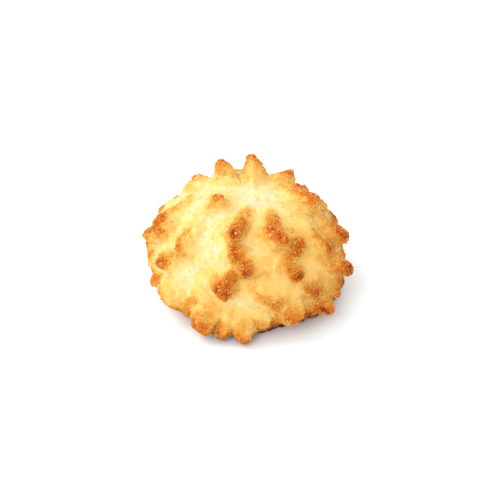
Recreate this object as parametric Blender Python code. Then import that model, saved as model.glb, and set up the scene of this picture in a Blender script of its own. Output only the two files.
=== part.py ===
"""Coconut macaroon: a baked mound of coconut paste with drawn-up crests, on a flat underside.

The mound is one solid. A fine ball is swelled into the mound's form, crests are raised on it along
short runs, the mesh is thinned where it is smooth, and a slab cuts the underside flat.
Places on the mound are given by two angles about the mound's centre: turn, from 0 at the front (-Y)
through 90 at +X, and tilt, from 0 at the top to 90 at the widest level and about 120 at the foot.
"""

import itertools
import math

import bmesh
import bpy
import numpy as np

MM = 0.001

# Driving dimensions of the plain mound, without its crests.
BODY_RADIUS = 22.0 * MM
CENTRE_HEIGHT = 11.5 * MM
DOME_RISE = 16.8 * MM
BELLY_DEPTH = 17.2 * MM
BELLY_POWER = 3.2
LEAN = 0.06

# Unevenness of the mound: the size of its swellings, how far they rise, and the seed that places them.
SWELLING_SIZE = 13.0 * MM
SWELLING_RISE = 1.1 * MM
SWELLING_SEED = 1
KNUCKLE_SIZE = 3.7 * MM
KNUCKLE_RISE = 0.7 * MM
KNUCKLE_SEED = 5
CRAG_SIZE = 2.1 * MM
CRAG_RISE = 0.85 * MM
CRAG_SEED = 6
# It is rough where its crests stand out, a little between them, and in a band at its foot.
ROUGH_STAND = 2.5 * MM
LEAST_ROUGH = 0.25
FOOT_BAND = 3.5 * MM

# How a crest falls away: a steep knob on flanks that run out ever more gently, steeper downhill than uphill.
# A knob bulges sideways and hangs a little.
KNOB_SHARE = 0.56
KNOB_POWER = 3.0
FLANK_SPREAD = 1.9
SKEW = 0.25
RIDGE_ROUNDING = 0.7
RUN_START_SHARE = 0.3
BULGE = 0.32
BULGE_STAND = 3.0 * MM
DROOP = 0.28
WANDER = 1.1 * MM
WANDER_SIZE = 4.0 * MM
WANDER_SEEDS = (2, 3, 4)
NOTCH_SIZE = 2.6 * MM
NOTCH_DEPTH = 0.4
NOTCH_SEED = 7
BLEND_POWER = 4.0

# Crests of the front. Each runs from one place to another, both as (turn, tilt) in degrees, and has the
# stand of its end and its half-width in millimetres.
FRONT_CRESTS = {
    "peak_left": ((-153, 26), (-146, 26), 6.5, 1.6),
    "peak_middle": ((-178, 25), (169, 25), 6.2, 2.3),
    "bump_top": ((-175, 6), (-175, 11), 2.6, 1.1),
    "crest_top_right": ((145, 42), (132, 40), 4.5, 1.9),
    "flake_right": ((110, 45), (105, 40), 3.0, 1.2),
    "crest_right_upper": ((95, 30), (78, 44), 4.8, 1.9),
    "knob_right": ((80, 60), (75, 70), 4.2, 2.0),
    "knob_right_middle": ((58, 58), (58, 69), 4.0, 1.8),
    "knob_right_far": ((60, 88), (63, 84), 5.4, 2.0),
    "knob_centre": ((38, 35), (22, 52), 4.6, 1.8),
    "pair_upper": ((20, 70), (35, 60), 3.5, 1.6),
    "pair_lower": ((25, 70), (30, 75), 3.0, 1.4),
    "knob_right_low": ((35, 85), (40, 90), 3.0, 1.5),
    "side_right_low": ((70, 95), (62, 100), 2.4, 1.7),
    "ridge_low": ((0, 84), (18, 94), 2.2, 1.7),
    "foot_right": ((38, 106), (48, 105), 4.0, 1.9),
    "foot_knob_right": ((25, 92), (24, 98), 4.3, 2.0),
    "foot_middle": ((0, 104), (7, 103), 2.6, 1.5),
    "foot_knob_middle": ((-13, 107), (-7, 109), 4.6, 1.7),
    "foot_left": ((-40, 105), (-27, 106), 4.7, 2.0),
    "foot_left_far": ((-47, 106), (-55, 100), 4.9, 2.1),
    "ridge_low_left": ((-30, 85), (-40, 100), 2.0, 1.6),
    "crest_left_low": ((-50, 70), (-60, 80), 3.2, 1.9),
    "edge_left_upper": ((-88, 70), (-83, 73), 5.0, 1.9),
    "edge_left_lower": ((-85, 105), (-90, 90), 3.5, 1.8),
    "crest_left": ((-55, 45), (-47, 66), 3.8, 1.8),
    "crest_left_far": ((-85, 45), (-77, 66), 3.7, 1.9),
    "side_left_back": ((-106, 78), (-108, 90), 3.2, 1.8),
    "crest_left_back": ((-95, 48), (-124, 43), 4.0, 1.6),
    "knob_left_upper": ((-48, 40), (-50, 27), 3.8, 1.4),
    "snake_top": ((0, 26), (-12, 46), 4.6, 1.6),
    "snake_neck": ((-16, 50), (-9, 60), 3.8, 1.6),
    "snake_middle": ((-10, 60), (0, 70), 5.0, 1.9),
    "snake_end": ((-5, 70), (-14, 80), 5.0, 1.9),
    "foot_knob_left": ((-20, 105), (-16, 107), 3.2, 1.4),
    "edge_left_middle": ((-82, 84), (-84, 88), 2.6, 1.4),
    "edge_left_foot": ((-66, 95), (-70, 98), 2.8, 1.5),
}

# Hollows where the foot lifts off what the macaroon stands on, written as the crests are, with their depths.
FOOT_HOLLOWS = (
    ((8, 119), (28, 118), 5.0, 2.6),
    ((-15, 120), (-20, 120), 1.5, 1.8),
    ((-45, 120), (-50, 120), 1.5, 2.0),
    ((40, 120), (45, 120), 2.0, 2.2),
    ((110, 120), (100, 120), 2.5, 2.6),
    ((160, 120), (165, 120), 2.0, 2.2),
    ((-145, 120), (-155, 120), 2.5, 2.6),
    ((-100, 120), (-105, 120), 2.0, 2.2),
)

# Crests of the back: the front's, within some turns of its middle and between two tilts, mirrored to the back
# and each moved by up to so many degrees of turn and tilt, and made so much lower or higher.
MIRRORED_WITHIN = 62.0
MIRRORED_TILT = (45.0, 106.0)
MIRRORED_SHIFT = (7.0, 5.0)
MIRRORED_STAND = (0.8, 1.15)

# Crests of the sides, and of the back's gaps, placed along a golden-angle spiral from the top down and drawn
# with a seed. One that would fall in the front, or near a crest that is already there, is skipped. Where the
# sides meet the front, over the turns from SIDE_FROM to SIDE_TO, they stand out less.
BACK_SEED = 31
SPIRAL_COUNT = 170
SPIRAL_LAST_TILT = 108.0
SIDE_FROM = 84.0
SIDE_TO = 125.0
LOWEST_SIDE = 0.45
CREST_SPACING = 5.2 * MM
TURN_JITTER = 6.0
RUN_LENGTH = (3.0, 14.0)
RUN_SLANT = 9.0
BACK_STAND = (2.4, 4.6)
BACK_WIDTH = (1.4, 2.0)
FOOT_TILT = (110.0, 120.0)
FOOT_COUNT = 30
FOOT_JITTER = 0.25
FOOT_STAND = (1.6, 3.4)
FOOT_SPACING = 4.2 * MM

# The ball's fineness, the share of its triangles that is kept, and the slab that cuts the underside.
BALL_SUBDIVISIONS = 7
KEPT_SHARE = 0.15
SLAB_SIDE = 80.0 * MM
SLAB_THICKNESS = 20.0 * MM

LATTICE_SIDE = 32
MIDDLE = np.array([0.0, 0.0, CENTRE_HEIGHT])
UP = np.array([0.0, 0.0, 1.0])
BROWNED_CREAM = (0.87, 0.58, 0.21, 1.0)


def clear_scene():
    """Removes every object that is already in the scene."""
    for item in list(bpy.data.objects):
        bpy.data.objects.remove(item, do_unlink=True)


def direction(place):
    """The unit vector for a place, which is turn and tilt in degrees."""
    across, down = np.radians(place)
    return np.array([math.sin(down) * math.sin(across), -math.sin(down) * math.cos(across), math.cos(down)])


def plain_mound(way):
    """Points of the mound without crests: half an ellipse above its widest level, a superellipse below."""
    level = np.hypot(way[..., 0], way[..., 1]) / BODY_RADIUS
    above = np.maximum(way[..., 2], 0.0) / DOME_RISE
    below = np.maximum(-way[..., 2], 0.0) / BELLY_DEPTH
    power = np.where(way[..., 2] >= 0.0, 2.0, BELLY_POWER)
    reach = (level**power + (above + below) ** power) ** (-1.0 / power)
    points = way * reach[..., None]
    points[..., 0] -= LEAN * points[..., 2]
    points[..., 2] += CENTRE_HEIGHT
    return points


def lumps(points, size, seed):
    """Smooth noise from -1 to 1: random numbers on a cubic lattice of that size, eased between corners."""
    table = np.random.default_rng(seed).uniform(-1.0, 1.0, (LATTICE_SIDE,) * 3)
    scaled = points / size
    cell = np.floor(scaled).astype(int)
    part = scaled - cell
    eased = part * part * (3.0 - 2.0 * part)
    total = np.zeros(points.shape[:-1])
    for corner in itertools.product((0, 1), repeat=3):
        weight = np.prod(np.where(corner, eased, 1.0 - eased), axis=-1)
        x, y, z = np.moveaxis((cell + corner) % LATTICE_SIDE, -1, 0)
        total += weight * table[x, y, z]
    return total


def mirrored_crests(draw):
    """Crests of the back: those of the front's middle, mirrored through the mound and each moved a little."""
    crests = []
    for start, end, stand, width in FRONT_CRESTS.values():
        shift = np.array([draw.uniform(-most, most) for most in MIRRORED_SHIFT])
        stand *= draw.uniform(*MIRRORED_STAND)
        turns, tilts = zip(start, end)
        least, most = MIRRORED_TILT
        if max(np.abs(turns)) <= MIRRORED_WITHIN and least <= min(tilts) and max(tilts) <= most:
            places = [(180.0 - turn, tilt) + shift for turn, tilt in (start, end)]
            crests.append((*places, stand, width))
    return crests


def spiral_crests(placed, draw):
    """Crests of the sides and of the back's gaps, each clear of the crests that are placed before it."""
    golden = 180.0 * (3.0 - math.sqrt(5.0))
    spots = [plain_mound(direction(place)) for crest in placed for place in crest[:2]]
    crests = []
    for count in range(SPIRAL_COUNT):
        cap_share = (count + 0.5) / SPIRAL_COUNT * (1.0 - math.cos(math.radians(SPIRAL_LAST_TILT)))
        tilt = math.degrees(math.acos(1.0 - cap_share))
        turn = (count * golden + draw.uniform(-TURN_JITTER, TURN_JITTER) + 180.0) % 360.0 - 180.0
        end = (turn + draw.uniform(-RUN_SLANT, RUN_SLANT), tilt + draw.uniform(*RUN_LENGTH))
        side = np.interp(abs(turn), (SIDE_FROM, SIDE_TO), (LOWEST_SIDE, 1.0))
        stand, width = side * draw.uniform(*BACK_STAND), draw.uniform(*BACK_WIDTH)
        middle = plain_mound(direction(((turn + end[0]) / 2.0, (tilt + end[1]) / 2.0)))
        near = min(np.linalg.norm(middle - spot) for spot in spots)
        if abs(turn) > SIDE_FROM and near > CREST_SPACING:
            crests.append(((turn, tilt), end, stand, width))
            spots += [plain_mound(direction(place)) for place in ((turn, tilt), end)]
    return crests


def foot_crests(placed, draw):
    """Knobs round the foot of the sides and back, each clear of the crests that are placed before it."""
    spots = [plain_mound(direction(place)) for crest in placed for place in crest[:2]]
    crests = []
    for count in range(FOOT_COUNT):
        around = (count + draw.uniform(-FOOT_JITTER, FOOT_JITTER)) / FOOT_COUNT
        turn = (360.0 * around + 180.0) % 360.0 - 180.0
        place = (turn, draw.uniform(*FOOT_TILT))
        stand, width = draw.uniform(*FOOT_STAND), draw.uniform(*BACK_WIDTH)
        near = min(np.linalg.norm(plain_mound(direction(place)) - spot) for spot in spots)
        if abs(turn) > SIDE_FROM and near > FOOT_SPACING:
            crests.append((place, place, stand, width))
    return crests


def all_crests():
    """The front's crests, then the back's, the sides' and the foot's."""
    draw = np.random.default_rng(BACK_SEED)
    crests = list(FRONT_CRESTS.values())
    crests += mirrored_crests(draw)
    crests += spiral_crests(crests, draw)
    crests += foot_crests(crests, draw)
    return crests


def raise_crest(points, crest):
    """How far one crest stands out at each point, and how far its knob pushes the point sideways.

    Both follow from the distance to the crest's run, in half-widths, which counts for more downhill.
    """
    start, end = plain_mound(direction(crest[0])), plain_mound(direction(crest[1]))
    stand, half_width = crest[2] * MM, crest[3] * MM
    run = end - start
    share = np.clip((points - start) @ run / max(run @ run, MM**3), 0.0, 1.0)
    aside = points - start - share[:, None] * run
    outward = (end - MIDDLE) / np.linalg.norm(end - MIDDLE)
    uphill = UP - UP @ outward * outward
    distance = np.linalg.norm(aside, axis=1)
    downhill = -(aside @ uphill) / np.maximum(distance, MM**2)
    away = distance / half_width * (1.0 + SKEW * downhill)
    knob = np.exp(-math.log(2.0) * away**KNOB_POWER)
    flank = np.exp((RIDGE_ROUNDING - np.hypot(away, RIDGE_ROUNDING)) / FLANK_SPREAD)
    height = stand * (RUN_START_SHARE + (1.0 - RUN_START_SHARE) * share)
    tall = np.clip(height / BULGE_STAND, 0.0, 1.0)
    rise = height * (KNOB_SHARE * knob + (1.0 - KNOB_SHARE) * flank)
    return rise, BULGE * (tall * knob)[:, None] * aside


def mound_surface(way):
    """Points of the whole mound for unit directions: the plain mound, its swellings, crests and crags."""
    points = plain_mound(way)
    swell = SWELLING_RISE * lumps(points, SWELLING_SIZE, SWELLING_SEED)
    wander = np.stack([lumps(points, WANDER_SIZE, seed) for seed in WANDER_SEEDS], axis=1)
    strayed = points + WANDER * wander
    total, push = np.zeros(len(points)), np.zeros((len(points), 3))
    for crest in all_crests():
        rise, aside = raise_crest(strayed, crest)
        total += rise**BLEND_POWER
        push += aside
    stand = total ** (1.0 / BLEND_POWER) * (1.0 + NOTCH_DEPTH * lumps(points, NOTCH_SIZE, NOTCH_SEED))
    for hollow in FOOT_HOLLOWS:
        stand -= raise_crest(strayed, hollow)[0]
    rough = np.clip(stand / ROUGH_STAND, LEAST_ROUGH, 1.0)
    rough = np.maximum(rough, np.exp(-np.maximum(points[:, 2], 0.0) / FOOT_BAND))
    crags = KNUCKLE_RISE * lumps(points, KNUCKLE_SIZE, KNUCKLE_SEED)
    crags += CRAG_RISE * lumps(points, CRAG_SIZE, CRAG_SEED)
    raised = points + push + way * (swell + stand + rough * crags)[:, None]
    raised[:, 2] -= DROOP * stand * (1.0 - np.abs(way[:, 2]))
    return raised


def browned_paste():
    """Baked coconut paste: pale gold, dull and opaque."""
    material = bpy.data.materials.new("baked_coconut")
    material.use_nodes = True
    shader = material.node_tree.nodes["Principled BSDF"]
    shader.inputs["Base Color"].default_value = BROWNED_CREAM
    shader.inputs["Roughness"].default_value = 0.6
    shader.inputs["Metallic"].default_value = 0.0
    return material


def make_collection(name):
    """A new collection in the scene."""
    collection = bpy.data.collections.new(name)
    bpy.context.scene.collection.children.link(collection)
    return collection


def make_macaroon(collection):
    """The mound as a closed mesh, swelled from a ball."""
    mesh = bpy.data.meshes.new("macaroon")
    ball = bmesh.new()
    bmesh.ops.create_icosphere(ball, subdivisions=BALL_SUBDIVISIONS, radius=1.0)
    ball.to_mesh(mesh)
    ball.free()
    way = np.empty(len(mesh.vertices) * 3)
    mesh.vertices.foreach_get("co", way)
    way = way.reshape(-1, 3)
    way /= np.linalg.norm(way, axis=1)[:, None]
    mesh.vertices.foreach_set("co", mound_surface(way).ravel())
    mesh.shade_smooth()
    mesh.materials.append(browned_paste())
    macaroon = bpy.data.objects.new("macaroon", mesh)
    collection.objects.link(macaroon)
    return macaroon


def make_slab(collection):
    """The slab that cuts the underside flat: its top face is the level that the macaroon rests on."""
    mesh = bpy.data.meshes.new("tray_slab")
    block = bmesh.new()
    bmesh.ops.create_cube(block, size=1.0)
    bmesh.ops.scale(block, verts=block.verts, vec=(SLAB_SIDE, SLAB_SIDE, SLAB_THICKNESS))
    block.to_mesh(mesh)
    block.free()
    slab = bpy.data.objects.new("tray_slab", mesh)
    slab.location.z = -SLAB_THICKNESS / 2.0
    slab.hide_render = True
    slab.display_type = "WIRE"
    collection.objects.link(slab)
    return slab


def thin_and_cut(macaroon, slab):
    """Keeps fewer triangles where the mound is smooth, then cuts it flat."""
    thin = macaroon.modifiers.new("thin", "DECIMATE")
    thin.ratio = KEPT_SHARE
    cut = macaroon.modifiers.new("cut_underside", "BOOLEAN")
    cut.operation = "DIFFERENCE"
    cut.object = slab


def main():
    """Builds the macaroon and cuts its underside."""
    clear_scene()
    macaroon = make_macaroon(make_collection("coconut_macaroon"))
    slab = make_slab(make_collection("cutters"))
    thin_and_cut(macaroon, slab)


main()
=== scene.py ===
"""Coconut macaroon with its looks: baked paste, the coconut that is strewn over it, and a white stage.

The file is laid out as a Blender add-on and is run as a script. Lengths are in metres unless a value says
otherwise, +Z is up, and the macaroon rests on z = 0 with the photographed side towards -Y. Places on the
mound are given by two angles about the mound's centre: turn, from 0 at the front (-Y) through 90 at +X, and
tilt, from 0 at the top to 90 at the widest level and about 120 at the foot.
"""

import itertools
import math

import bpy
import numpy as np
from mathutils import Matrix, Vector


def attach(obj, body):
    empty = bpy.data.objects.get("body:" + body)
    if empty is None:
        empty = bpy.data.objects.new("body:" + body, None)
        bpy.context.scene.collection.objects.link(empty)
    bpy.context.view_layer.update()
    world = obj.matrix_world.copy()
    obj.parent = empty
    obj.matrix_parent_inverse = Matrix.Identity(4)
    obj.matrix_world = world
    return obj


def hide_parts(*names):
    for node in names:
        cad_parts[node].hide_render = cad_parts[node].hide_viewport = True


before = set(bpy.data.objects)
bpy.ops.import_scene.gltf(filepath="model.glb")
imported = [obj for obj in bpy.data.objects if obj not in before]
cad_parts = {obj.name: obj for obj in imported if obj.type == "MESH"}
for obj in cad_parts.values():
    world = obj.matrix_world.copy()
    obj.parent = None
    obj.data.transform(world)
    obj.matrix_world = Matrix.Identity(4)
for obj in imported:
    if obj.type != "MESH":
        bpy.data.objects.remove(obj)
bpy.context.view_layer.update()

bl_info = {
    "name": "Coconut macaroon",
    "version": (1, 0, 0),
    "blender": (4, 5, 0),
    "location": "3D View > Sidebar > Macaroon",
    "description": "Makes a baked coconut macaroon and a white stage for it",
    "category": "Add Mesh",
}

MM = 0.001

# The least length, in metres, and the least area, in square metres, that a sum here is divided by.
LEAST_LENGTH = 1e-6
LEAST_AREA = 1e-9
# Two directions on the ball's seams are one if they agree to this many decimals.
SEAM_DECIMALS = 7
# These keep a piece under 200,000 triangles: quads along a face of the ball, and eight-faced blocks.
MOST_QUADS = 128
MOST_BLOCKS = 24900

# Driving dimensions of the plain mound, as in its solid.
BODY_RADIUS = 22.0 * MM
CENTRE_HEIGHT = 11.5 * MM
DOME_RISE = 16.8 * MM
BELLY_DEPTH = 17.2 * MM
BELLY_POWER = 3.2
LEAN = 0.06

# Unevenness of the mound, as in its solid.
SWELLING_SIZE = 13.0 * MM
SWELLING_RISE = 1.1 * MM
SWELLING_SEED = 1
KNUCKLE_SIZE = 3.7 * MM
KNUCKLE_RISE = 0.7 * MM
KNUCKLE_SEED = 5
CRAG_SIZE = 2.1 * MM
CRAG_RISE = 0.85 * MM
CRAG_SEED = 6
# It is rough where its crests stand out, a little between them, and in a band at its foot.
ROUGH_STAND = 2.5 * MM
LEAST_ROUGH = 0.25
FOOT_BAND = 3.5 * MM

# How a crest falls away, as in the solid: a steep knob on flanks that run out ever more gently.
KNOB_SHARE = 0.56
KNOB_POWER = 3.0
FLANK_SPREAD = 1.9
SKEW = 0.25
RIDGE_ROUNDING = 0.7
RUN_START_SHARE = 0.3
BULGE = 0.32
BULGE_STAND = 3.0 * MM
DROOP = 0.28
WANDER = 1.1 * MM
WANDER_SIZE = 4.0 * MM
WANDER_SEEDS = (2, 3, 4)
NOTCH_SIZE = 2.6 * MM
NOTCH_DEPTH = 0.4
NOTCH_SEED = 7
BLEND_POWER = 4.0

# Crests of the front. Each runs from one place to another, both as (turn, tilt) in degrees, and has the
# stand of its end and its half-width in millimetres, and how far the oven has browned its end, from 0 to 1.
FRONT_CRESTS = {
    "peak_left": ((-153, 26), (-146, 26), 6.5, 1.6, 0.9),
    "peak_middle": ((-178, 25), (169, 25), 6.2, 2.3, 0.7),
    "bump_top": ((-175, 6), (-175, 11), 2.6, 1.1, 0.6),
    "crest_top_right": ((145, 42), (132, 40), 4.5, 1.9, 0.75),
    "flake_right": ((110, 45), (105, 40), 3.0, 1.2, 0.8),
    "crest_right_upper": ((95, 30), (78, 44), 4.8, 1.9, 0.75),
    "knob_right": ((80, 60), (75, 70), 4.2, 2.0, 0.8),
    "knob_right_middle": ((58, 58), (58, 69), 4.0, 1.8, 0.8),
    "knob_right_far": ((60, 88), (63, 84), 5.4, 2.0, 0.85),
    "knob_centre": ((38, 35), (22, 52), 4.6, 1.8, 0.8),
    "pair_upper": ((20, 70), (35, 60), 3.5, 1.6, 0.85),
    "pair_lower": ((25, 70), (30, 75), 3.0, 1.4, 0.8),
    "knob_right_low": ((35, 85), (40, 90), 3.0, 1.5, 0.85),
    "side_right_low": ((70, 95), (62, 100), 2.4, 1.7, 0.7),
    "ridge_low": ((0, 84), (18, 94), 2.2, 1.7, 0.65),
    "foot_right": ((38, 106), (48, 105), 4.0, 1.9, 0.9),
    "foot_knob_right": ((25, 92), (24, 98), 4.3, 2.0, 0.6),
    "foot_middle": ((0, 104), (7, 103), 2.6, 1.5, 0.5),
    "foot_knob_middle": ((-13, 107), (-7, 109), 4.6, 1.7, 0.8),
    "foot_left": ((-40, 105), (-27, 106), 4.7, 2.0, 1.0),
    "foot_left_far": ((-47, 106), (-55, 100), 4.9, 2.1, 0.7),
    "ridge_low_left": ((-30, 85), (-40, 100), 2.0, 1.6, 0.65),
    "crest_left_low": ((-50, 70), (-60, 80), 3.2, 1.9, 0.75),
    "edge_left_upper": ((-88, 70), (-83, 73), 5.0, 1.9, 0.75),
    "edge_left_lower": ((-85, 105), (-90, 90), 3.5, 1.8, 0.65),
    "crest_left": ((-55, 45), (-47, 66), 3.8, 1.8, 0.6),
    "crest_left_far": ((-85, 45), (-77, 66), 3.7, 1.9, 0.85),
    "side_left_back": ((-106, 78), (-108, 90), 3.2, 1.8, 0.8),
    "crest_left_back": ((-95, 48), (-124, 43), 4.0, 1.6, 0.5),
    "knob_left_upper": ((-48, 40), (-50, 27), 3.8, 1.4, 0.7),
    "snake_top": ((0, 26), (-12, 46), 4.6, 1.6, 0.9),
    "snake_neck": ((-16, 50), (-9, 60), 3.8, 1.6, 0.85),
    "snake_middle": ((-10, 60), (0, 70), 5.0, 1.9, 0.96),
    "snake_end": ((-5, 70), (-14, 80), 5.0, 1.9, 1.0),
    "foot_knob_left": ((-20, 105), (-16, 107), 3.2, 1.4, 0.75),
    "edge_left_middle": ((-82, 84), (-84, 88), 2.6, 1.4, 0.65),
    "edge_left_foot": ((-66, 95), (-70, 98), 2.8, 1.5, 0.75),
}

# Hollows where the foot lifts off what the macaroon stands on, written as the crests are.
FOOT_HOLLOWS = (
    ((8, 119), (28, 118), 5.0, 2.6, 0.0),
    ((-15, 120), (-20, 120), 1.5, 1.8, 0.0),
    ((-45, 120), (-50, 120), 1.5, 2.0, 0.0),
    ((40, 120), (45, 120), 2.0, 2.2, 0.0),
    ((110, 120), (100, 120), 2.5, 2.6, 0.0),
    ((160, 120), (165, 120), 2.0, 2.2, 0.0),
    ((-145, 120), (-155, 120), 2.5, 2.6, 0.0),
    ((-100, 120), (-105, 120), 2.0, 2.2, 0.0),
)

# The rules that place the crests of the back and sides, as in the solid, and the browning they are drawn.
MIRRORED_WITHIN = 62.0
MIRRORED_TILT = (45.0, 106.0)
MIRRORED_SHIFT = (7.0, 5.0)
MIRRORED_STAND = (0.8, 1.15)
BACK_SEED = 31
SPIRAL_COUNT = 170
SPIRAL_LAST_TILT = 108.0
SIDE_FROM = 84.0
SIDE_TO = 125.0
LOWEST_SIDE = 0.45
CREST_SPACING = 5.2 * MM
TURN_JITTER = 6.0
RUN_LENGTH = (3.0, 14.0)
RUN_SLANT = 9.0
BACK_STAND = (2.4, 4.6)
BACK_WIDTH = (1.4, 2.0)
FOOT_TILT = (110.0, 120.0)
FOOT_COUNT = 30
FOOT_JITTER = 0.25
FOOT_STAND = (1.6, 3.4)
FOOT_SPACING = 4.2 * MM
BROWNING_SEED = 9
BACK_BROWNING = (0.5, 1.0)
LATTICE_SIDE = 32
MIDDLE = np.array([0.0, 0.0, CENTRE_HEIGHT])
UP = np.array([0.0, 0.0, 1.0])

# Where the paste browns: strongest on a knob's tip, fading over its flanks; dark where it met the tray.
# Part of this darkening is painted shade: under the foot's knobs and on the +X side.
TIP_SHARE = 0.35
KNOB_SHARE_OF_BROWN = 0.46
KNOB_BROWN_SPREAD = 0.7
FLANK_BROWN_SPREAD = 2.3
FOOT_BROWN_HEIGHT = 2.7 * MM
# Paste that faces down low on the mound is darkened, fading with height: partly browning, partly painted
# shade under the foot's knobs and in its recesses.
BENEATH_STEEPNESS = 3.0
BENEATH_BROWN_AND_SHADE_HEIGHT = 8.0 * MM
UNDERSIDE_BROWNING = 0.85
BLOTCH_SIZE = 5.5 * MM
BLOTCH_BROWNING = 0.1
BLOTCH_SEED = 33
# Painted shade: the paste is browned more towards +X, the side turned away from the key light.
RIGHT_SIDE_PAINTED_SHADE = 0.11
PATCH_SIZE = 1.3 * MM
PATCH_SHARE = 0.36
PATCH_SEED = 32

# The skin's grid is drawn towards the top by LIFT. Its relief is finer than the solid's: it strays, clumps
# and nubs stand out of the browned crust and hardly out of the pale paste, and the underside is pitted
# wherever its noise is above minus PIT_REACH.
LIFT = 0.4
STRAY = 0.28 * MM
STRAY_SIZE = 1.6 * MM
STRAY_SEEDS = (11, 12, 13)
NUB_SEED = 21
CLUMP_SEED = 22
PALE_RELIEF = 0.22
UNDERSIDE_RELIEF = 0.22 * MM
UNDERSIDE_PIT_SIZE = 1.1 * MM
UNDERSIDE_SEED = 31
PIT_REACH = 0.5

# Grains, flecks and shreds: how they lie, how uneven they are, and how brown they are against the paste
# below them. Weights are two brownings and how closely the coconut lies at each. Lifts are in half-lengths.
GRAIN_SEED = 41
GRAIN_WEIGHTS = ((0.28, 0.65), (0.0, 1.0))
GRAIN_SIZES = (0.6, 1.4)
GRAIN_FULLNESS = (0.6, 0.95)
GRAIN_TONE = (0.62, 1.12)
GRAIN_LIFT = (0.0, 0.8)
PALE_GRAIN_SHARE = 0.03
PALE_GRAIN_TONE = 0.3
FLECK_SEED = 43
FLECK_WEIGHTS = ((0.05, 0.5), (1.0, 0.0))
FLECK_SIZES = (0.5, 1.5)
FLECK_FULLNESS = (0.3, 0.55)
FLECK_TONE = (0.5, 1.15)
FLECK_LIFT = (-0.3, 0.0)
BLOCK_JITTER = 0.22
BLOCK_FACES = ((0, 1, 2), (0, 2, 3), (0, 3, 4), (0, 4, 1), (5, 2, 1), (5, 3, 2), (5, 4, 3), (5, 1, 4))
SHRED_SEED = 42
SHRED_WEIGHTS = ((0.1, 0.6), (0.0, 1.0))
SHRED_SIZES = (0.6, 1.5)
SHRED_TONE = (0.6, 1.2)
SHRED_STATIONS = 8
SHRED_BEND = 0.35
# A shred narrows as if it came to a point this many lengths from its middle, and ends blunt before that.
SHRED_POINT = 0.55
LIE_ANGLE = 0.3
FLOOR_CLEARANCE = 1.2 * MM

# How far the oven has gone, from 0 to 1, where each of the paste's shades is pure.
SHADE_PLACES = {"cream": 0.0, "yellow": 0.22, "gold": 0.42, "amber": 0.64, "brown": 0.84, "scorched": 1.0}

# Patterns of the finishes. The pale flesh is mottled over 2 mm; single grains, 0.5 mm across, take the
# browning unevenly and stand up a little; and the strewn coconut is mottled over 0.3 mm. Shares are of the
# browning. The paste dries as it browns, and its roughness goes from the first value to the second.
FLESH_MOTTLE_SIZE = 2.0 * MM
FLESH_MOTTLE_SHIFT = 0.25
STAIN_SIZE = 0.5 * MM
STAIN_SHARE = 0.7
STAIN_BUMP = 0.1 * MM
STAIN_BUMP_STRENGTH = 0.4
COCONUT_MOTTLE_SIZE = 0.3 * MM
COCONUT_MOTTLE_SHARE = 0.4
DRYING = (0.1, 0.7)
PASTE_ROUGHNESS = (0.42, 0.62)

# Constant sockets of the shaders. Light goes into both, and its red part goes deepest.
FLESH_RADIUS = (1.0, 0.6, 0.25)
PASTE_SOCKETS = {
    "IOR": 1.45,
    "Specular IOR Level": 0.25,
    "Subsurface Weight": 0.45,
    "Subsurface Radius": FLESH_RADIUS,
    "Subsurface Scale": 1.8 * MM,
}
COCONUT_SOCKETS = {
    "Roughness": 0.38,
    "IOR": 1.47,
    "Specular IOR Level": 0.22,
    "Subsurface Weight": 0.2,
    "Subsurface Radius": FLESH_RADIUS,
    "Subsurface Scale": 0.6 * MM,
}

# The stage.
FLOOR_SIDE = 4.0
FLOOR_ROUGHNESS = 0.8
WHITE = (1.0, 1.0, 1.0, 1.0)
KEY_PLACE = (-0.38, 0.08, 0.45)
FILL_PLACE = (-0.25, -0.6, 0.5)
CAMERA_DISTANCE = 342.0 * MM
CAMERA_NEAREST = 10.0 * MM


def linear(code):
    """The linear colour of an sRGB hex value, by the standard's curve: a straight foot below a power."""
    parts = [int(code[place:place + 2], 16) / 255.0 for place in (1, 3, 5)]
    return [part / 12.92 if part <= 0.04045 else ((part + 0.055) / 1.055) ** 2.4 for part in parts]


def colour_setting(name, description, code):
    """A colour that a user may change, given by its sRGB hex value."""
    return bpy.props.FloatVectorProperty(
        name=name, description=description, default=linear(code), subtype="COLOR", size=3, min=0.0, max=1.0
    )


def length_setting(name, description, default):
    """A length that a user may change, in metres."""
    return bpy.props.FloatProperty(
        name=name, description=description, default=default, min=0.0, subtype="DISTANCE", unit="LENGTH",
        precision=5,
    )


class MACAROON_PG_paste(bpy.types.PropertyGroup):
    """Sizes and colours of the baked paste."""

    quads: bpy.props.IntProperty(
        name="Quads", description="Quads along each edge of the ball's six faces",
        default=MOST_QUADS, min=8, max=MOST_QUADS,
    )
    nub_size: length_setting("Nub size", "Spacing of the coconut nubs in the crust", 0.62 * MM)
    nub_rise: length_setting("Nub rise", "How far the nubs stand out of the crust", 0.16 * MM)
    clump_size: length_setting("Clump size", "Spacing of the clumps in the crust", 1.65 * MM)
    clump_rise: length_setting("Clump rise", "How far the clumps stand out of the crust", 0.5 * MM)
    cream: colour_setting("Cream", "Paste that the oven has hardly coloured", "#D9CEB4")
    yellow: colour_setting("Yellow", "Paste just turning gold", "#D9B262")
    gold: colour_setting("Gold", "Flanks of the crests", "#D1953A")
    amber: colour_setting("Amber", "Browned knobs", "#C66C10")
    brown: colour_setting("Brown", "Tips that the oven has browned most", "#AF500E")
    scorched: colour_setting("Scorched", "Crags at the foot, against the tray", "#5C1A06")


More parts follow.
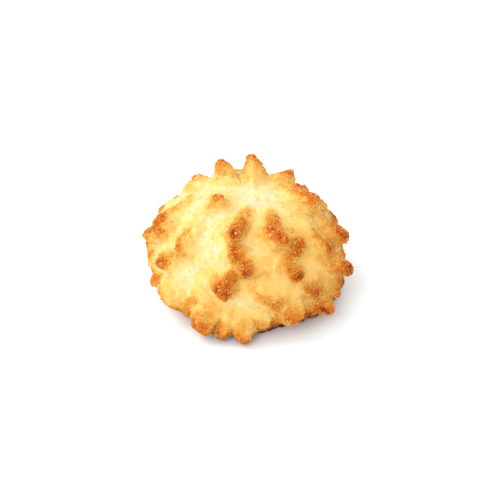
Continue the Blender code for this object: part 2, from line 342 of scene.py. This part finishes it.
class MACAROON_PG_coconut(bpy.types.PropertyGroup):
    """Sizes and numbers of the coconut grains, flecks and shreds."""

    grains: bpy.props.IntProperty(
        name="Grains", description="Number of grains in the browned crust", default=24000, min=0,
        max=MOST_BLOCKS,
    )
    grain_length: length_setting("Grain length", "Mean length of a grain", 0.46 * MM)
    flecks: bpy.props.IntProperty(
        name="Flecks", description="Number of flecks in the pale paste", default=3000, min=0,
        max=MOST_BLOCKS,
    )
    fleck_length: length_setting("Fleck length", "Mean length of a fleck", 0.85 * MM)
    shreds: bpy.props.IntProperty(
        name="Shreds", description="Number of shreds that lie on the paste", default=90, min=0, max=2000
    )
    shred_length: length_setting("Shred length", "Mean length of a shred", 1.4 * MM)
    shred_width: length_setting("Shred width", "Width of a shred", 0.25 * MM)


class MACAROON_PG_stage(bpy.types.PropertyGroup):
    """Floor, lights and camera."""

    floor: colour_setting("Floor", "Matt white floor", "#E5ECEE")
    sky: bpy.props.FloatProperty(
        name="Surrounding light", description="Strength of the even white light", default=1.2, min=0.0
    )
    key_watts: bpy.props.FloatProperty(
        name="Key light", description="Power of the soft key light", default=2.1, min=0.0, unit="POWER"
    )
    fill_watts: bpy.props.FloatProperty(
        name="Fill light", description="Power of the light in front", default=3.2, min=0.0, unit="POWER"
    )
    light_size: length_setting("Light size", "Width of the soft lights", 0.45)
    lens: bpy.props.FloatProperty(
        name="Lens", description="Focal length of the camera", default=100.0, min=10.0,
        subtype="DISTANCE_CAMERA",
    )
    elevation: bpy.props.FloatProperty(
        name="Elevation", description="Angle that the camera looks down by", default=math.radians(32.0),
        subtype="ANGLE", unit="ROTATION",
    )


def direction(place):
    """The unit vector for a place, which is turn and tilt in degrees."""
    across, down = np.radians(place)
    return np.array([math.sin(down) * math.sin(across), -math.sin(down) * math.cos(across), math.cos(down)])


def plain_mound(way):
    """Points of the mound without crests: half an ellipse above its widest level, a superellipse below."""
    level = np.hypot(way[..., 0], way[..., 1]) / BODY_RADIUS
    above = np.maximum(way[..., 2], 0.0) / DOME_RISE
    below = np.maximum(-way[..., 2], 0.0) / BELLY_DEPTH
    power = np.where(way[..., 2] >= 0.0, 2.0, BELLY_POWER)
    reach = (level**power + (above + below) ** power) ** (-1.0 / power)
    points = way * reach[..., None]
    points[..., 0] -= LEAN * points[..., 2]
    points[..., 2] += CENTRE_HEIGHT
    return points


def lumps(points, size, seed):
    """Smooth noise from -1 to 1: random numbers on a cubic lattice of that size, eased between corners."""
    table = np.random.default_rng(seed).uniform(-1.0, 1.0, (LATTICE_SIDE,) * 3)
    scaled = points / size
    cell = np.floor(scaled).astype(int)
    part = scaled - cell
    eased = part * part * (3.0 - 2.0 * part)
    total = np.zeros(points.shape[:-1])
    for corner in itertools.product((0, 1), repeat=3):
        weight = np.prod(np.where(corner, eased, 1.0 - eased), axis=-1)
        x, y, z = np.moveaxis((cell + corner) % LATTICE_SIDE, -1, 0)
        total += weight * table[x, y, z]
    return total


def nubs(points, size, seed):
    """Rounded nubs from 0 to 1: one centre strewn in each cube of that size, and a nub falls away from its
    centre as one less the square of the distance in sizes.
    """
    places = np.random.default_rng(seed).uniform(0.0, 1.0, (LATTICE_SIDE,) * 3 + (3,))
    scaled = points / size
    cell = np.floor(scaled).astype(int)
    nearest = np.full(len(points), np.inf)
    for step in itertools.product((-1, 0, 1), repeat=3):
        x, y, z = np.moveaxis((cell + step) % LATTICE_SIDE, -1, 0)
        away = cell + step + places[x, y, z] - scaled
        nearest = np.minimum(nearest, (away**2).sum(axis=1))
    return np.clip(1.0 - nearest, 0.0, 1.0)


def mirrored_crests(draw):
    """Crests of the back: those of the front's middle, mirrored through the mound, each moved a little."""
    crests = []
    for start, end, stand, width, brown in FRONT_CRESTS.values():
        shift = np.array([draw.uniform(-most, most) for most in MIRRORED_SHIFT])
        stand *= draw.uniform(*MIRRORED_STAND)
        turns, tilts = zip(start, end)
        least, most = MIRRORED_TILT
        if max(np.abs(turns)) <= MIRRORED_WITHIN and least <= min(tilts) and max(tilts) <= most:
            places = [(180.0 - turn, tilt) + shift for turn, tilt in (start, end)]
            crests.append((*places, stand, width, brown))
    return crests


def spiral_crests(placed, draw, tones):
    """Crests of the sides and of the back's gaps, each clear of the crests that are placed before it."""
    golden = 180.0 * (3.0 - math.sqrt(5.0))
    spots = [plain_mound(direction(place)) for crest in placed for place in crest[:2]]
    crests = []
    for count in range(SPIRAL_COUNT):
        cap_share = (count + 0.5) / SPIRAL_COUNT * (1.0 - math.cos(math.radians(SPIRAL_LAST_TILT)))
        tilt = math.degrees(math.acos(1.0 - cap_share))
        turn = (count * golden + draw.uniform(-TURN_JITTER, TURN_JITTER) + 180.0) % 360.0 - 180.0
        end = (turn + draw.uniform(-RUN_SLANT, RUN_SLANT), tilt + draw.uniform(*RUN_LENGTH))
        side = np.interp(abs(turn), (SIDE_FROM, SIDE_TO), (LOWEST_SIDE, 1.0))
        stand, width = side * draw.uniform(*BACK_STAND), draw.uniform(*BACK_WIDTH)
        middle = plain_mound(direction(((turn + end[0]) / 2.0, (tilt + end[1]) / 2.0)))
        near = min(np.linalg.norm(middle - spot) for spot in spots)
        if abs(turn) > SIDE_FROM and near > CREST_SPACING:
            crests.append(((turn, tilt), end, stand, width, tones.uniform(*BACK_BROWNING)))
            spots += [plain_mound(direction(place)) for place in ((turn, tilt), end)]
    return crests


def foot_crests(placed, draw, tones):
    """Knobs round the foot of the sides and back, each clear of the crests that are placed before it."""
    spots = [plain_mound(direction(place)) for crest in placed for place in crest[:2]]
    crests = []
    for count in range(FOOT_COUNT):
        around = (count + draw.uniform(-FOOT_JITTER, FOOT_JITTER)) / FOOT_COUNT
        turn = (360.0 * around + 180.0) % 360.0 - 180.0
        place = (turn, draw.uniform(*FOOT_TILT))
        stand, width = draw.uniform(*FOOT_STAND), draw.uniform(*BACK_WIDTH)
        near = min(np.linalg.norm(plain_mound(direction(place)) - spot) for spot in spots)
        if abs(turn) > SIDE_FROM and near > FOOT_SPACING:
            crests.append((place, place, stand, width, tones.uniform(*BACK_BROWNING)))
    return crests


def all_crests():
    """The front's crests, then the back's, the sides' and the foot's."""
    draw = np.random.default_rng(BACK_SEED)
    tones = np.random.default_rng(BROWNING_SEED)
    crests = list(FRONT_CRESTS.values())
    crests += mirrored_crests(draw)
    crests += spiral_crests(crests, draw, tones)
    crests += foot_crests(crests, draw, tones)
    return crests


def raise_crest(points, crest):
    """How far one crest stands out at each point, how far its knob pushes the point sideways, and how brown
    it is there. All follow from the distance to the crest's run, in half-widths, which counts for more
    downhill: a knob falls as the exponential of a power of it, and a flank as the exponential of its
    rounded value. Height and browning grow along the run.
    """
    start, end = plain_mound(direction(crest[0])), plain_mound(direction(crest[1]))
    stand, half_width = crest[2] * MM, crest[3] * MM
    run = end - start
    share = np.clip((points - start) @ run / max(run @ run, LEAST_AREA), 0.0, 1.0)
    aside = points - start - share[:, None] * run
    outward = (end - MIDDLE) / np.linalg.norm(end - MIDDLE)
    uphill = UP - UP @ outward * outward
    distance = np.linalg.norm(aside, axis=1)
    downhill = -(aside @ uphill) / np.maximum(distance, LEAST_LENGTH)
    away = distance / half_width * (1.0 + SKEW * downhill)
    knob = np.exp(-math.log(2.0) * away**KNOB_POWER)
    flank = np.exp((RIDGE_ROUNDING - np.hypot(away, RIDGE_ROUNDING)) / FLANK_SPREAD)
    height = stand * (RUN_START_SHARE + (1.0 - RUN_START_SHARE) * share)
    tall = np.clip(height / BULGE_STAND, 0.0, 1.0)
    rise = height * (KNOB_SHARE * knob + (1.0 - KNOB_SHARE) * flank)
    tip = TIP_SHARE + (1.0 - TIP_SHARE) * share
    on_knob = np.exp(-((away / KNOB_BROWN_SPREAD) ** KNOB_POWER))
    on_flank = np.exp(-away / FLANK_BROWN_SPREAD)
    brown = crest[4] * tip * (KNOB_SHARE_OF_BROWN * on_knob + (1.0 - KNOB_SHARE_OF_BROWN) * on_flank)
    return rise, BULGE * (tall * knob)[:, None] * aside, brown


def mound_surface(way):
    """Points of the mound for unit directions, as in its solid: the plain mound, its swellings, crests and
    crags. Also gives how far each point stands out, and how brown the crests make it.
    """
    points = plain_mound(way)
    swell = SWELLING_RISE * lumps(points, SWELLING_SIZE, SWELLING_SEED)
    wander = np.stack([lumps(points, WANDER_SIZE, seed) for seed in WANDER_SEEDS], axis=1)
    strayed = points + WANDER * wander
    total, push, browned = np.zeros(len(points)), np.zeros((len(points), 3)), np.zeros(len(points))
    for crest in all_crests():
        rise, aside, brown = raise_crest(strayed, crest)
        total += rise**BLEND_POWER
        push += aside
        browned += brown**BLEND_POWER
    stand = total ** (1.0 / BLEND_POWER) * (1.0 + NOTCH_DEPTH * lumps(points, NOTCH_SIZE, NOTCH_SEED))
    for hollow in FOOT_HOLLOWS:
        stand -= raise_crest(strayed, hollow)[0]
    rough = np.clip(stand / ROUGH_STAND, LEAST_ROUGH, 1.0)
    rough = np.maximum(rough, np.exp(-np.maximum(points[:, 2], 0.0) / FOOT_BAND))
    crags = KNUCKLE_RISE * lumps(points, KNUCKLE_SIZE, KNUCKLE_SEED)
    crags += CRAG_RISE * lumps(points, CRAG_SIZE, CRAG_SEED)
    raised = points + push + way * (swell + stand + rough * crags)[:, None]
    raised[:, 2] -= DROOP * stand * (1.0 - np.abs(way[:, 2]))
    return raised, stand, browned ** (1.0 / BLEND_POWER)


def ball_grid(quads):
    """Unit directions and quads of a ball: on each of a cube's six faces two parameters run from -1 to 1,
    their tangents give a point of the face, and the point is drawn in to the ball. Edges are shared.
    """
    angle = np.linspace(-math.pi / 4.0, math.pi / 4.0, quads + 1)
    across, up = np.meshgrid(np.tan(angle), np.tan(angle), indexing="ij")
    ways, corners = [], []
    number = np.arange((quads + 1) ** 2).reshape(quads + 1, quads + 1)
    ring = np.stack([number[:-1, :-1], number[1:, :-1], number[1:, 1:], number[:-1, 1:]], axis=-1)
    for axis, side in itertools.product(range(3), (1.0, -1.0)):
        face = np.empty(across.shape + (3,))
        face[..., axis] = side
        face[..., (axis + 1) % 3] = across * side
        face[..., (axis + 2) % 3] = up
        corners.append(ring.reshape(-1, 4) + len(ways) * number.size)
        ways.append(face.reshape(-1, 3))
    ways = np.concatenate(ways)
    ways /= np.linalg.norm(ways, axis=1)[:, None]
    rounded = np.round(ways, SEAM_DECIMALS)
    _, first, shared = np.unique(rounded, axis=0, return_index=True, return_inverse=True)
    return ways[first], shared.reshape(-1)[np.concatenate(corners)]


def surface_normals(points, corners):
    """Unit normals of a quad mesh's points: the sum of the cross products of the diagonals around each."""
    at = points[corners]
    facing = np.cross(at[:, 2] - at[:, 0], at[:, 3] - at[:, 1])
    normals = np.zeros_like(points)
    for corner in range(4):
        for axis in range(3):
            normals[:, axis] += np.bincount(corners[:, corner], facing[:, axis], len(points))
    return normals / np.maximum(np.linalg.norm(normals, axis=1), LEAST_AREA)[:, None]


def build_mesh(name, points, corners, attributes, smooth):
    """A mesh object at the origin from arrays of points and faces, with float attributes on its points."""
    mesh = bpy.data.meshes.new(name)
    mesh.vertices.add(len(points))
    mesh.vertices.foreach_set("co", points.astype(np.float32).ravel())
    mesh.loops.add(corners.size)
    mesh.loops.foreach_set("vertex_index", corners.astype(np.int32).ravel())
    mesh.polygons.add(len(corners))
    mesh.polygons.foreach_set("loop_start", np.arange(0, corners.size, corners.shape[1], dtype=np.int32))
    mesh.update(calc_edges=True)
    if smooth:
        mesh.shade_smooth()
    else:
        mesh.shade_flat()
    for title, values in attributes.items():
        layer = mesh.attributes.new(title, "FLOAT", "POINT")
        layer.data.foreach_set("value", values.astype(np.float32))
    piece = bpy.data.objects.new(name, mesh)
    bpy.context.scene.collection.objects.link(piece)
    return piece


def paste_surface(settings):
    """Points, quads and browning of the baked paste.

    The ball's directions are drawn towards the top, so that the flat underside takes few of them. The mound
    is raised on them as in its solid, and clumps and nubs then stand out along its normals, most where it
    is browned. Browning follows the crests, and near the tray it falls with the height and grows with how
    far the surface faces down; that growth is partly painted shade under the foot's knobs. The +X side is
    darkened further with painted shade, for the side turned away from the key light.
    """
    way, corners = ball_grid(settings.quads)
    way = way + LIFT * UP
    way /= np.linalg.norm(way, axis=1)[:, None]
    points, stand, browned = mound_surface(way)
    stray = np.stack([lumps(points, STRAY_SIZE, seed) for seed in STRAY_SEEDS], axis=1)
    points = points + STRAY * stray * np.clip(stand / ROUGH_STAND, 0.0, 1.0)[:, None]
    normals = surface_normals(points, corners)
    height = np.maximum(points[:, 2], 0.0)
    side = np.exp(-((height / FOOT_BROWN_HEIGHT) ** 2))
    # Darker where the paste faces down near the tray: partly browning, partly painted shade under knobs and
    # in the foot's recesses.
    brown_and_shade_beneath = np.clip(-BENEATH_STEEPNESS * normals[:, 2], 0.0, 1.0) * np.exp(-height / BENEATH_BROWN_AND_SHADE_HEIGHT)
    browned = np.maximum(browned, np.maximum(side, brown_and_shade_beneath))
    relief = settings.nub_rise * nubs(points, settings.nub_size, NUB_SEED)
    relief += settings.clump_rise * nubs(points, settings.clump_size, CLUMP_SEED)
    points = points + normals * (relief * np.clip(PALE_RELIEF + browned, 0.0, 1.0))[:, None]
    pits = PIT_REACH + lumps(points, UNDERSIDE_PIT_SIZE, UNDERSIDE_SEED)
    tray = UNDERSIDE_RELIEF * np.clip(pits, 0.0, 1.0)
    underside = points[:, 2] <= tray
    points[:, 2] = np.maximum(points[:, 2], tray)
    patches = 1.0 + PATCH_SHARE * lumps(points, PATCH_SIZE, PATCH_SEED)
    blotch = BLOTCH_BROWNING * (1.0 + lumps(points, BLOTCH_SIZE, BLOTCH_SEED)) / 2.0
    # Painted shade: browning grows towards +X, the side turned away from the key light.
    right_side_painted_shade = RIGHT_SIDE_PAINTED_SHADE * np.clip(points[:, 0] / BODY_RADIUS, 0.0, 1.0)
    browning_and_shade = browned * patches + blotch + right_side_painted_shade
    browning_and_shade = np.where(underside, UNDERSIDE_BROWNING * patches, browning_and_shade)
    return points, corners, np.clip(browning_and_shade, 0.0, 1.0)


def add_node(tree, kind, inputs=(), **settings):
    """Adds a node: settings are its own properties, inputs maps a socket to a value or to what feeds it."""
    node = tree.nodes.new(kind)
    for name, value in settings.items():
        setattr(node, name, value)
    for socket, value in dict(inputs).items():
        if isinstance(value, bpy.types.NodeSocket):
            tree.links.new(value, node.inputs[socket])
        else:
            node.inputs[socket].default_value = value
    return node


def browned_colour(tree, browning_and_shade):
    """The colour of baked coconut for how far it is browned, from cream through gold to scorched."""
    paste = bpy.context.scene.macaroon_paste
    ramp = add_node(tree, "ShaderNodeValToRGB", {"Fac": browning_and_shade})
    while len(ramp.color_ramp.elements) < len(SHADE_PLACES):
        ramp.color_ramp.elements.new(1.0)
    for element, (shade, place) in zip(ramp.color_ramp.elements, SHADE_PLACES.items()):
        element.position = place
        element.color = (*getattr(paste, shade), 1.0)
    return ramp.outputs["Color"]


def start_material(name, sockets):
    """A new material whose shader has these constant sockets. Gives it, its node tree and its shader."""
    material = bpy.data.materials.new(name)
    material.use_nodes = True
    shader = material.node_tree.nodes["Principled BSDF"]
    for socket, value in sockets.items():
        shader.inputs[socket].default_value = value
    return material, material.node_tree, shader


def paste_material():
    """Baked coconut paste: egg white and sugar bound round fine coconut, smooth and translucent where it is
    pale, dry and grainy where it is browned. The eye gets a moist sheen on the cream and a dull crust.
    """
    material, tree, shader = start_material("baked_coconut_paste", PASTE_SOCKETS)
    place = add_node(tree, "ShaderNodeTexCoord").outputs["Object"]
    # The attribute holds the paste's browning together with painted shade on the +X side and under the
    # foot.
    browned = add_node(tree, "ShaderNodeAttribute", attribute_name="browning_and_shade").outputs["Fac"]
    mottle = add_node(
        tree, "ShaderNodeTexNoise",
        {"Vector": place, "Scale": 1.0 / FLESH_MOTTLE_SIZE, "Detail": 4.0, "Roughness": 0.7},
    )
    shifted = add_node(
        tree, "ShaderNodeMath",
        {0: mottle.outputs["Fac"], 1: FLESH_MOTTLE_SHIFT, 2: -FLESH_MOTTLE_SHIFT / 2.0},
        operation="MULTIPLY_ADD",
    )
    mottled = add_node(tree, "ShaderNodeMath", {0: browned, 1: shifted.outputs[0]}, operation="ADD")
    grain = add_node(
        tree, "ShaderNodeTexNoise",
        {"Vector": place, "Scale": 1.0 / STAIN_SIZE, "Detail": 3.0, "Roughness": 0.65},
    )
    uneven = add_node(
        tree, "ShaderNodeMath",
        {0: grain.outputs["Fac"], 1: STAIN_SHARE, 2: 1.0 - STAIN_SHARE / 2.0},
        operation="MULTIPLY_ADD",
    )
    speckled = add_node(
        tree, "ShaderNodeMath", {0: mottled.outputs[0], 1: uneven.outputs[0]}, operation="MULTIPLY"
    )
    tree.links.new(browned_colour(tree, speckled.outputs[0]), shader.inputs["Base Color"])
    dry = add_node(
        tree, "ShaderNodeMapRange",
        {
            "Value": browned, "From Min": DRYING[0], "From Max": DRYING[1],
            "To Min": PASTE_ROUGHNESS[0], "To Max": PASTE_ROUGHNESS[1],
        },
    )
    tree.links.new(dry.outputs[0], shader.inputs["Roughness"])
    bump = add_node(
        tree, "ShaderNodeBump",
        {"Height": grain.outputs["Fac"], "Strength": STAIN_BUMP_STRENGTH, "Distance": STAIN_BUMP},
    )
    tree.links.new(bump.outputs[0], shader.inputs["Normal"])
    return material


def coconut_material():
    """Toasted coconut: hard oily pieces of nut flesh, whose faces catch the light as sparkle."""
    material, tree, shader = start_material("toasted_coconut", COCONUT_SOCKETS)
    place = add_node(tree, "ShaderNodeTexCoord").outputs["Object"]
    # Each piece takes the browning of the paste under it, painted shade included.
    browned = add_node(tree, "ShaderNodeAttribute", attribute_name="browning_and_shade").outputs["Fac"]
    mottle = add_node(
        tree, "ShaderNodeTexNoise",
        {"Vector": place, "Scale": 1.0 / COCONUT_MOTTLE_SIZE, "Detail": 2.0, "Roughness": 0.5},
    )
    uneven = add_node(
        tree, "ShaderNodeMath",
        {0: mottle.outputs["Fac"], 1: COCONUT_MOTTLE_SHARE, 2: 1.0 - COCONUT_MOTTLE_SHARE / 2.0},
        operation="MULTIPLY_ADD",
    )
    mottled = add_node(tree, "ShaderNodeMath", {0: browned, 1: uneven.outputs[0]}, operation="MULTIPLY")
    tree.links.new(browned_colour(tree, mottled.outputs[0]), shader.inputs["Base Color"])
    return material


def strew(count, weights, seed):
    """Places on the paste: triangles are drawn by their area times the weight of their browning, and each
    place is drawn evenly on its triangle. Gives the points, the normals and the browning there.
    """
    paste = bpy.data.objects["baked_paste"]
    mesh = paste.data
    mesh.calc_loop_triangles()
    corners = np.empty(len(mesh.loop_triangles) * 3, dtype=np.int32)
    mesh.loop_triangles.foreach_get("vertices", corners)
    corners = corners.reshape(-1, 3)
    points = np.empty(len(mesh.vertices) * 3, dtype=np.float32)
    mesh.vertices.foreach_get("co", points)
    points = points.reshape(-1, 3).astype(float)
    browning_and_shade = np.empty(len(mesh.vertices), dtype=np.float32)
    mesh.attributes["browning_and_shade"].data.foreach_get("value", browning_and_shade)
    edges = points[corners[:, 1]] - points[corners[:, 0]], points[corners[:, 2]] - points[corners[:, 0]]
    facing = np.cross(*edges)
    area = np.linalg.norm(facing, axis=1)
    mean = browning_and_shade[corners].mean(axis=1)
    wanted = np.interp(mean, *weights) * area
    wanted *= points[corners, 2].min(axis=1) > FLOOR_CLEARANCE
    draw = np.random.default_rng(seed)
    chosen = draw.choice(len(corners), count, p=wanted / wanted.sum())
    first, second = draw.uniform(0.0, 1.0, (2, count, 1))
    folded = first + second > 1.0
    first, second = np.where(folded, 1.0 - first, first), np.where(folded, 1.0 - second, second)
    spots = points[corners[chosen, 0]] + first * edges[0][chosen] + second * edges[1][chosen]
    return spots, facing[chosen] / area[chosen, None], mean[chosen], draw


def lay_down(normals, draw):
    """Three directions for each thing that lies on the paste: the first is drawn at random nearly along the
    surface, the second lies along it, and the third stands up.
    """
    along = np.cross(normals, draw.normal(size=normals.shape))
    along /= np.linalg.norm(along, axis=1)[:, None]
    rise = draw.uniform(-LIE_ANGLE, LIE_ANGLE, (len(normals), 1))
    forward = along * np.cos(rise) + normals * np.sin(rise)
    side = np.cross(normals, along)
    return forward, side, np.cross(forward, side)


def blocks(spots, normals, lengths, widths, lift, draw):
    """Many grains at once, each an uneven block of eight faces: a ring of four corners round its middle,
    and a point at either end. Gives points and triangles.
    """
    forward, side, up = lay_down(normals, draw)
    half_length, half_width = lengths[:, None] / 2.0, widths[:, None] / 2.0
    end, across, high = forward * half_length, side * half_width, up * half_width
    corners = np.stack([end, across, high, -across, -high, -end], axis=1)
    lifted = spots + normals * half_length * draw.uniform(*lift, (len(spots), 1))
    points = lifted[:, None] + corners
    points += BLOCK_JITTER * half_length[:, None] * draw.uniform(-1.0, 1.0, points.shape)
    faces = np.array(BLOCK_FACES) + (np.arange(len(spots)) * points.shape[1])[:, None, None]
    return points.reshape(-1, 3), faces.reshape(-1, 3)


def bent_bars(spots, normals, lengths, width, draw):
    """Many shreds at once: a square is carried along each shred's own shallow arc, narrows to its ends, and
    is closed by a quad at either end. Gives points and quads.
    """
    forward, side, up = lay_down(normals, draw)
    run = np.linspace(-0.5, 0.5, SHRED_STATIONS)
    path = forward[:, None] * run[:, None] - up[:, None] * (SHRED_BEND * run**2)[:, None]
    path = spots[:, None] + lengths[:, None, None] * path
    narrow = width / 2.0 * np.sqrt(1.0 - (run / SHRED_POINT) ** 2)
    section = np.stack([side + up, up - side, -side - up, side - up], axis=1)
    points = path[:, :, None] + narrow[:, None, None] * section[:, None]
    number = np.arange(SHRED_STATIONS * 4).reshape(SHRED_STATIONS, 4)
    turned = np.roll(number, -1, axis=1)
    walls = np.stack([number[:-1], turned[:-1], turned[1:], number[1:]], axis=-1).reshape(-1, 4)
    bar = np.concatenate([walls, number[:1, ::-1], number[-1:]])
    faces = bar + (np.arange(len(spots)) * number.size)[:, None, None]
    return points.reshape(-1, 3), faces.reshape(-1, 4)


def finish_coconut(name, points, faces, tone, smooth):
    """Makes one piece of strewn coconut and gives it its material: tone is how brown each single one is."""
    tone = np.repeat(np.clip(tone, 0.0, 1.0), len(points) // len(tone))
    piece = build_mesh(name, points, faces, {"browning_and_shade": tone}, smooth)
    piece.data.materials.append(coconut_material())
    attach(piece, "root")


class MACAROON_OT_bake_paste(bpy.types.Operator):
    """Make the baked paste with its crests, which stands for the solid macaroon"""

    bl_idname = "macaroon.bake_paste"
    bl_label = "Baked paste"

    def execute(self, context):
        points, corners, browning_and_shade = paste_surface(context.scene.macaroon_paste)
        paste = build_mesh("baked_paste", points, corners, {"browning_and_shade": browning_and_shade}, True)
        paste.data.materials.append(paste_material())
        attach(paste, "root")
        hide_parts("macaroon")
        return {"FINISHED"}


class MACAROON_OT_strew_grains(bpy.types.Operator):
    """Strew coconut grains over the browned crests"""

    bl_idname = "macaroon.strew_grains"
    bl_label = "Coconut grains"

    def execute(self, context):
        coconut = context.scene.macaroon_coconut
        spots, normals, browning_and_shade, draw = strew(coconut.grains, GRAIN_WEIGHTS, GRAIN_SEED)
        lengths = coconut.grain_length * draw.uniform(*GRAIN_SIZES, coconut.grains)
        widths = lengths * draw.uniform(*GRAIN_FULLNESS, coconut.grains)
        points, faces = blocks(spots, normals, lengths, widths, GRAIN_LIFT, draw)
        tone = browning_and_shade * draw.uniform(*GRAIN_TONE, coconut.grains)
        tone = np.where(draw.uniform(size=coconut.grains) < PALE_GRAIN_SHARE, tone * PALE_GRAIN_TONE, tone)
        finish_coconut("coconut_grains", points, faces, tone, False)
        return {"FINISHED"}


class MACAROON_OT_strew_flecks(bpy.types.Operator):
    """Strew flecks of coconut through the pale paste"""

    bl_idname = "macaroon.strew_flecks"
    bl_label = "Coconut flecks"

    def execute(self, context):
        coconut = context.scene.macaroon_coconut
        spots, normals, browning_and_shade, draw = strew(coconut.flecks, FLECK_WEIGHTS, FLECK_SEED)
        lengths = coconut.fleck_length * draw.uniform(*FLECK_SIZES, coconut.flecks)
        widths = lengths * draw.uniform(*FLECK_FULLNESS, coconut.flecks)
        points, faces = blocks(spots, normals, lengths, widths, FLECK_LIFT, draw)
        tone = browning_and_shade * draw.uniform(*FLECK_TONE, coconut.flecks)
        finish_coconut("coconut_flecks", points, faces, tone, False)
        return {"FINISHED"}


class MACAROON_OT_strew_shreds(bpy.types.Operator):
    """Strew coconut shreds over the paste"""

    bl_idname = "macaroon.strew_shreds"
    bl_label = "Coconut shreds"

    def execute(self, context):
        coconut = context.scene.macaroon_coconut
        spots, normals, browning_and_shade, draw = strew(coconut.shreds, SHRED_WEIGHTS, SHRED_SEED)
        lengths = coconut.shred_length * draw.uniform(*SHRED_SIZES, coconut.shreds)
        points, faces = bent_bars(spots, normals, lengths, coconut.shred_width, draw)
        tone = browning_and_shade * draw.uniform(*SHRED_TONE, coconut.shreds)
        finish_coconut("coconut_shreds", points, faces, tone, True)
        return {"FINISHED"}


def aim_at(thing, place, target):
    """Puts a light or camera in the scene at a place, looking at a target."""
    thing.location = place
    thing.rotation_euler = Vector(target - np.array(place)).to_track_quat("-Z", "Y").to_euler()
    bpy.context.scene.collection.objects.link(thing)


def soft_light(name, place, watts, width):
    """A square soft light that looks at the macaroon."""
    lamp = bpy.data.lights.new(name, "AREA")
    lamp.energy = watts
    lamp.size = width
    aim_at(bpy.data.objects.new(name, lamp), place, MIDDLE)


class MACAROON_OT_set_stage(bpy.types.Operator):
    """Set the white floor, the soft light and the camera"""

    bl_idname = "macaroon.set_stage"
    bl_label = "Stage"

    def execute(self, context):
        scene, stage = context.scene, context.scene.macaroon_stage
        half = FLOOR_SIDE / 2.0
        ground = np.array([(-half, -half, 0.0), (half, -half, 0.0), (half, half, 0.0), (-half, half, 0.0)])
        floor = build_mesh("floor", ground, np.array([[0, 1, 2, 3]]), {}, False)
        # Matt white board scatters light evenly, so the eye gets a soft shadow and no gloss.
        sockets = {"Base Color": (*stage.floor, 1.0), "Roughness": FLOOR_ROUGHNESS}
        floor.data.materials.append(start_material("matt_white_board", sockets)[0])
        world = bpy.data.worlds.new("white_room")
        world.use_nodes = True
        background = world.node_tree.nodes["Background"]
        background.inputs["Color"].default_value = WHITE
        background.inputs["Strength"].default_value = stage.sky
        scene.world = world
        scene.view_settings.view_transform = "Standard"
        soft_light("key_light", KEY_PLACE, stage.key_watts, stage.light_size)
        soft_light("fill_light", FILL_PLACE, stage.fill_watts, stage.light_size)
        camera = bpy.data.objects.new("camera", bpy.data.cameras.new("camera"))
        camera.data.lens = stage.lens
        camera.data.clip_start = CAMERA_NEAREST
        back = np.array([0.0, -math.cos(stage.elevation), math.sin(stage.elevation)])
        aim_at(camera, MIDDLE + CAMERA_DISTANCE * back, MIDDLE)
        scene.camera = camera
        return {"FINISHED"}


class MACAROON_PT_sidebar(bpy.types.Panel):
    """The macaroon's settings and steps, in the 3D view's sidebar"""

    bl_label = "Coconut macaroon"
    bl_space_type = "VIEW_3D"
    bl_region_type = "UI"
    bl_category = "Macaroon"

    def draw(self, context):
        for step, group in STEPS.items():
            box = self.layout.box()
            settings = getattr(context.scene, group)
            for name in settings.bl_rna.properties.keys():
                if name not in ("rna_type", "name"):
                    box.prop(settings, name)
            box.operator(step)


STEPS = {
    "macaroon.bake_paste": "macaroon_paste",
    "macaroon.strew_grains": "macaroon_coconut",
    "macaroon.strew_flecks": "macaroon_coconut",
    "macaroon.strew_shreds": "macaroon_coconut",
    "macaroon.set_stage": "macaroon_stage",
}
GROUPS = {
    "macaroon_paste": MACAROON_PG_paste,
    "macaroon_coconut": MACAROON_PG_coconut,
    "macaroon_stage": MACAROON_PG_stage,
}
CLASSES = (
    *GROUPS.values(), MACAROON_OT_bake_paste, MACAROON_OT_strew_grains, MACAROON_OT_strew_flecks,
    MACAROON_OT_strew_shreds, MACAROON_OT_set_stage, MACAROON_PT_sidebar,
)


def register():
    """Registers the classes and gives the scene their settings."""
    for kind in CLASSES:
        bpy.utils.register_class(kind)
    for name, kind in GROUPS.items():
        setattr(bpy.types.Scene, name, bpy.props.PointerProperty(type=kind))


def unregister():
    """Takes the settings off the scene and unregisters the classes."""
    for name in GROUPS:
        delattr(bpy.types.Scene, name)
    for kind in reversed(CLASSES):
        bpy.utils.unregister_class(kind)


def main():
    """Makes the macaroon and its stage."""
    register()
    bpy.ops.macaroon.bake_paste()
    bpy.ops.macaroon.strew_grains()
    bpy.ops.macaroon.strew_flecks()
    bpy.ops.macaroon.strew_shreds()
    bpy.ops.macaroon.set_stage()


if __name__ == "__main__":
    main()
